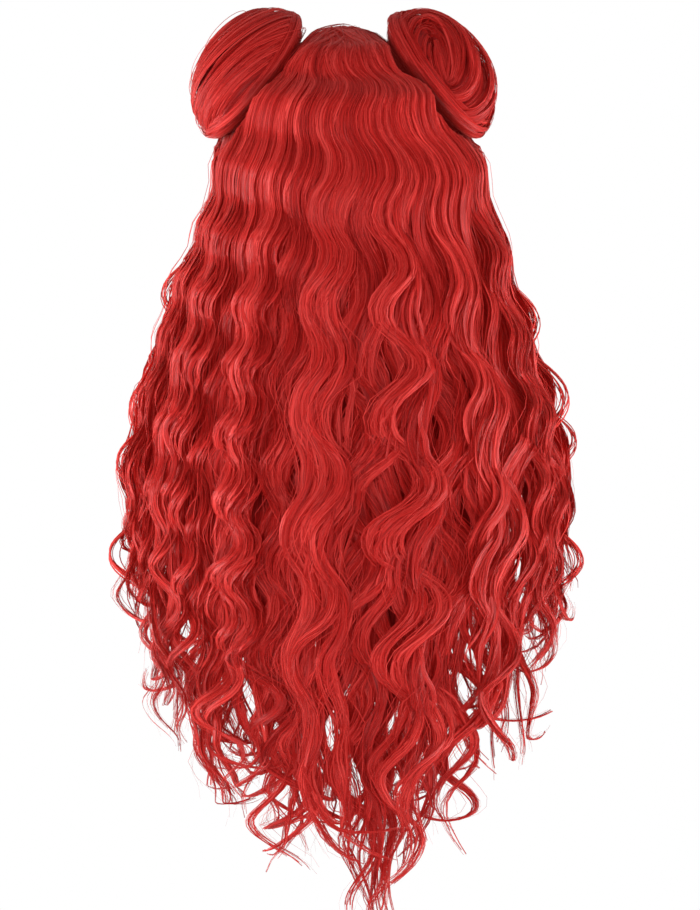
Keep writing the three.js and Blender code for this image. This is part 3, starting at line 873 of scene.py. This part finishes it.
bunPlan = {
    "seed": 44,
    "height": (0.020, 0.037),  # below and above the widest part
    "middle": -0.006, "rings": 40, "span": (0.6, 1.25), "firstTurn": -0.6, "waver": 0.03,
    "lastClimb": 0.985, "creaseRound": 0.55, "creaseEnds": (0.75, 0.97), "hollowFrom": (0.62, 0.97),
    "tuck": 0.006, "tuckRun": 0.12, "widths": (0.6, 1.35), "endWidth": 0.3, "tone": (0.5, 0.15),
    "roll": 0.3, "coreGrid": (48, 24),
    "coreSink": (0.0045, 0.7),  # at least, and as a share of the creases
}
bunWindings = {
    "left": {"tip": (0.40, -0.46, 0.80), "climb": (-0.75, 0.97), "wraps": 3.2, "crease": 0.0006,
             "drift": 0.45, "slit": 0.0, "hollow": 0.0, "body": 0.003, "locks": 150, "loose": 44},
    "right": {"tip": (-0.16, 0.90, 0.40), "climb": (-0.62, 0.97), "wraps": 2.3, "crease": 0.0105,
              "drift": 0.10, "slit": 0.5, "hollow": 0.013, "body": 0.007, "locks": 168, "loose": 30},
}
bunKinds = {
    "locks": {"width": 0.0038, "flat": 0.2, "proud": 0.0, "material": ribbonMaterial},
    "loose": {**singleHair, "proud": 0.004, "material": strandMaterial},
}
bandPlan = {**bunKinds["locks"], "ribbons": 46, "climb": (-0.24, 0.16), "span": (0.4, 0.9), "drift": 0.25,
            "proud": 0.0018, "crease": 0.005, "creaseRound": 0.6, "tuck": 0.004, "body": 0.002}


def bunSurface(sign, tip, slit, turn, climb, sink):
    centre, axis, up, across = bunAxes(sign)
    tip = unit(np.array(tip))
    north = unit(np.array((0.0, 0.0, 1.0)) - tip * tip[2])
    east = np.cross(tip, north)
    lift = (np.radians(90.0) * climb)[..., None]
    angle = (math.tau * turn)[..., None]
    outward = (north * np.cos(angle) + east * np.sin(angle)) * np.cos(lift) + tip * np.sin(lift)
    outward = unit(outward + north * (slit * np.cos(angle) * np.maximum(np.sin(lift), 0.0)))
    low, high = bunPlan["height"]
    height = outward @ axis
    rise = bunPlan["middle"] + (np.where(height < 0, low, high) - sink) * height
    wide = (bunPlace["radius"] - sink) * bunPlace["stretch"][0] * (outward @ up)
    deep = (bunPlace["radius"] - sink) * bunPlace["stretch"][1] * (outward @ across)
    points = centre + up * wide[..., None] + across * deep[..., None] + axis * rise[..., None]
    seat = headShape["half"] + headShape["seatOver"]
    head = np.array((0.0, 0.0, -headHeight))
    inside = np.linalg.norm((points - head) / seat, axis=-1, keepdims=True)
    # painted shade on a bun's strands where they come down to the head
    shade = 1.0 - ease(inside[..., 0], *bunPlace["shadeSeat"])
    return head + (points - head) / np.minimum(inside, 1.0), outward, shade


def endTuck(part, depth):
    run = bunPlan["tuckRun"]
    return depth * (1.0 - ease(part, 0.0, run) * (1.0 - ease(part, 1.0 - run, 1.0)))


def bunTubes(name, kind, points, outward, shade, part, rng):
    count = len(points)
    profile = mix(bunPlan["endWidth"], 1.0, np.sin(np.pi * part) ** 0.5)
    width = kind["width"] * scatter(rng, count, *bunPlan["widths"]) * profile
    tone = np.clip(rng.normal(*bunPlan["tone"], count), 0.0, 1.0)
    roll = bunPlan["roll"] * rng.normal(0.0, 1.0, (count, 1))
    material, flat = kind["material"], kind["flat"]
    return tubesFromPaths(name, material, flat, points, outward, width, tone, roll, shade=shade)


def bunStrands(word, sign, kindName, rng):
    winding, kind = bunWindings[word], bunKinds[kindName]
    count = winding[kindName]
    span = scatter(rng, count, *bunPlan["span"])
    part = np.linspace(0.0, 1.0, bunPlan["rings"])
    turn = scatter(rng, count, bunPlan["firstTurn"], winding["wraps"]) + span * part
    place = scatter(rng, count)
    place = place + winding["drift"] * rng.normal(0.0, 1.0, (count, 1)) * (part - 0.5) * span
    place = place + bunPlan["waver"] * np.sin(math.tau * (2.0 * part + scatter(rng, count)))
    climb = mix(*winding["climb"], (turn + place) / (winding["wraps"] + 1.0))
    climb = np.clip(climb, winding["climb"][0], bunPlan["lastClimb"])
    rounded = 1.0 - np.sin(np.pi * np.mod(place, 1.0)) ** bunPlan["creaseRound"]
    crease = winding["crease"] * rounded * (1.0 - ease(climb, *bunPlan["creaseEnds"]))
    hollow = winding["hollow"] * ease(climb, *bunPlan["hollowFrom"])
    proud = kind["proud"] * scatter(rng, count) * np.sin(np.pi * part)
    body = winding["body"] * scatter(rng, count) ** 1.5
    sink = crease + endTuck(part, bunPlan["tuck"]) + hollow + body - proud
    points, outward, shade = bunSurface(sign, winding["tip"], winding["slit"], turn * sign, climb, sink)
    return bunTubes(word + "_bun_" + kindName, kind, points, outward, shade, part, rng)


def bunBand(word, sign, rng):
    count = bandPlan["ribbons"]
    part = np.linspace(0.0, 1.0, bunPlan["rings"])
    turn = scatter(rng, count) + scatter(rng, count, *bandPlan["span"]) * part
    place = scatter(rng, count) + bandPlan["drift"] * rng.normal(0.0, 1.0, (count, 1)) * (part - 0.5)
    place = np.clip(place, 0.0, 1.0)
    rounded = bandPlan["crease"] * (1.0 - np.sin(np.pi * place) ** bandPlan["creaseRound"])
    body = scatter(rng, count, 0.0, bandPlan["body"])
    sink = rounded + endTuck(part, bandPlan["tuck"]) + body - bandPlan["proud"]
    _, axis, _, _ = bunAxes(sign)
    points, outward, shade = bunSurface(sign, axis, 0.0, turn, mix(*bandPlan["climb"], place), sink)
    return bunTubes(word + "_bun_band", bandPlan, points, outward, shade, part, rng)


def bunCore(word, sign):
    segments, rings = bunPlan["coreGrid"]
    bpy.ops.mesh.primitive_uv_sphere_add(segments=segments, ring_count=rings, radius=1.0)
    core = bpy.context.object
    core.name = core.data.name = word + "_bun_core"
    places = np.zeros(len(core.data.vertices) * 3)
    core.data.vertices.foreach_get("co", places)
    places = places.reshape(-1, 3)
    turn = np.arctan2(places[:, 1], places[:, 0]) / (math.tau)
    climb = np.arcsin(np.clip(places[:, 2], -1.0, 1.0)) / np.radians(90.0)
    winding = bunWindings[word]
    least, share = bunPlan["coreSink"]
    hollow = winding["hollow"] * ease(climb, *bunPlan["hollowFrom"])
    sink = max(least, share * winding["crease"]) + hollow
    points, _, _ = bunSurface(sign, winding["tip"], winding["slit"], turn, climb, sink)
    core.data.vertices.foreach_set("co", points.astype(np.float32).ravel())
    core.data.uv_layers[0].name = "strand"
    markPoints(core.data, {"tone": np.full(len(places), 0.5)})
    bpy.ops.object.shade_smooth()
    # painted shade: the core takes the darker copy of the hair
    core.data.materials.append(paintedShadeMaterial)
    core.select_set(False)
    return core


rng = np.random.default_rng(bunPlan["seed"])
for word, sign in (("left", 1.0), ("right", -1.0)):
    standFor(bunStrands(word, sign, "locks", rng), word + "_bun")
    standFor(bunStrands(word, sign, "loose", rng), word + "_bun")
    standFor(bunBand(word, sign, rng), word + "_bun")
    standFor(bunCore(word, sign), word + "_bun")
print("buns made")


# The cap: a sphere cut along the hairline, thickened to a wall of net

capPlan = {
    "segments": 72, "rings": 48,
    "rimPlaces": ((0.085, -0.150), (-0.025, -0.112), (-0.061, -0.095), (-0.082, -0.057), (-0.079, -0.030)),
    "weld": 0.0002, "smoothAngle": 40, "net": (0.10, 0.008, 0.008), "thread": (0.24, 0.018, 0.016),
    "threadEdge": (0.05, 0.22), "mesh": 420.0, "bump": 0.7, "bumpDepth": 0.0006, "rough": 0.85,
}


def netMaterial():
    material, tree, shader = newMaterial("capNet")
    place = addNode(tree, "ShaderNodeTexCoord")
    inputs = {"Vector": place.outputs["Object"], "Scale": capPlan["mesh"]}
    cells = addNode(tree, "ShaderNodeTexVoronoi", inputs, feature="DISTANCE_TO_EDGE")
    threads = ranged(tree, cells.outputs["Distance"], *capPlan["threadEdge"], 1.0, 0.0)
    feed(tree, shader, {
        "Base Color": blend(tree, threads, opaque(capPlan["net"]), opaque(capPlan["thread"])),
        "Normal": bumped(tree, threads, capPlan["bump"], capPlan["bumpDepth"]),
        "Roughness": capPlan["rough"],
    })
    return material


def capShell():
    segments, rings = capPlan["segments"], capPlan["rings"]
    bpy.ops.mesh.primitive_uv_sphere_add(segments=segments, ring_count=rings, radius=1.0)
    cap = bpy.context.object
    cap.name = cap.data.name = "cap_shell"
    cap.scale = headShape["half"]
    cap.location = (0.0, 0.0, -headHeight)
    bpy.ops.object.transform_apply(location=True, rotation=False, scale=True)
    bpy.ops.object.mode_set(mode="EDIT")
    for (y0, z0), (y1, z1) in zip(capPlan["rimPlaces"], capPlan["rimPlaces"][1:]):
        bpy.ops.mesh.select_all(action="SELECT")
        normal = (0.0, z1 - z0, y0 - y1)
        bpy.ops.mesh.bisect(plane_co=(0.0, y0, z0), plane_no=normal, clear_inner=True)
    bpy.ops.mesh.select_all(action="SELECT")
    bpy.ops.mesh.remove_doubles(threshold=capPlan["weld"])
    bpy.ops.mesh.normals_make_consistent(inside=False)
    bpy.ops.object.mode_set(mode="OBJECT")
    wall = cap.modifiers.new("wall", "SOLIDIFY")
    wall.thickness = headShape["capWall"]
    wall.offset = 1.0
    bpy.ops.object.modifier_apply(modifier="wall")
    bpy.ops.object.shade_smooth_by_angle(angle=math.radians(capPlan["smoothAngle"]))
    cap.data.materials.append(netMaterial())
    cap.select_set(False)
    print("made cap_shell", len(cap.data.polygons), "faces")
    return cap


standFor(capShell(), "wig_cap")


# Floor, light and camera

stagePlan = {
    "floorHeight": -1.7, "floorSize": 15.0, "pale": (0.86, 0.86, 0.87), "paleRough": 0.9,
    "paleLift": (0.5, 0.5, 0.5),  # lifts the floor that the camera sees
    "fill": 0.30,
    "lights": {  # place, height aimed at, size and power
        "keyLight": ((0.8, 2.2, -0.25), -0.33, 1.0, 16),
        "fillLight": ((-1.1, 2.0, -0.8), -0.35, 1.4, 13),
        "leftLight": ((1.9, 0.0, -0.6), -0.38, 1.5, 48),
        "rightLight": ((-1.9, 0.0, -0.6), -0.38, 1.5, 44),
        "frontLight": ((0.4, -1.8, -0.4), -0.3, 1.6, 14),
    },
    "cameraDistance": 2.5,
    "scaleDepth": 0.03,  # how far behind the head's middle the photo's scale holds
    "photoSize": (700, 910), "metresPerPixel": 0.0007,
    "middlePixel": 345,  # the photo's column over the middle of the head
    "topHeight": 0.0339,  # height of the photo's top edge
    "farthest": 50.0,
}


def buildFloor():
    place = (0.0, 0.0, stagePlan["floorHeight"])
    bpy.ops.mesh.primitive_plane_add(size=stagePlan["floorSize"], location=place)
    floor = bpy.context.object
    floor.name = "floor"
    paint, tree, shader = newMaterial("paleFloor")
    seen = addNode(tree, "ShaderNodeLightPath").outputs["Is Camera Ray"]
    feed(tree, shader, {
        "Base Color": opaque(stagePlan["pale"]),
        "Roughness": stagePlan["paleRough"],
        "Emission Strength": 1.0,
        "Emission Color": blend(tree, seen, opaque((0.0, 0.0, 0.0)), opaque(stagePlan["paleLift"])),
    })
    floor.data.materials.append(paint)


def buildLight(name, place, aimHeight, size, power):
    lamp = bpy.data.lights.new(name, "AREA")
    lamp.size = size
    lamp.energy = power
    holder = bpy.data.objects.new(name, lamp)
    bpy.context.scene.collection.objects.link(holder)
    holder.location = place
    aim = np.array((0.0, 0.0, aimHeight)) - np.array(place)
    holder.rotation_euler = Vector(aim).to_track_quat("-Z", "Y").to_euler()


def buildWorld():
    world = bpy.data.worlds.new("studio")
    bpy.context.scene.world = world
    world.use_nodes = True
    tree = world.node_tree
    seen = addNode(tree, "ShaderNodeLightPath").outputs["Is Camera Ray"]
    levels = {"Factor": seen, "A": stagePlan["fill"], "B": 1.0}
    strength = addNode(tree, "ShaderNodeMix", levels, data_type="FLOAT").outputs["Result"]
    feed(tree, tree.nodes["Background"], {"Strength": strength, "Color": opaque((1.0, 1.0, 1.0))})


def buildCamera():
    columns, rows = stagePlan["photoSize"]
    scale = stagePlan["metresPerPixel"]
    distance = stagePlan["cameraDistance"]
    lens = bpy.data.cameras.new("camera")
    camera = bpy.data.objects.new("camera", lens)
    bpy.context.scene.collection.objects.link(camera)
    across = (stagePlan["middlePixel"] - columns / 2) * scale
    camera.location = (across, distance, stagePlan["topHeight"] - rows / 2 * scale)
    camera.rotation_euler = (math.radians(90), 0.0, math.radians(180))
    lens.lens = lens.sensor_width * (distance - stagePlan["scaleDepth"]) / (rows * scale)
    lens.clip_end = stagePlan["farthest"]
    bpy.context.scene.camera = camera


buildFloor()
buildWorld()
for name, light in stagePlan["lights"].items():
    buildLight(name, *light)
buildCamera()
bpy.context.scene.view_settings.view_transform = "Standard"
bpy.context.scene.cycles.transparent_max_bounces = 96  # rays pass many split ribbons
print("stage ready")
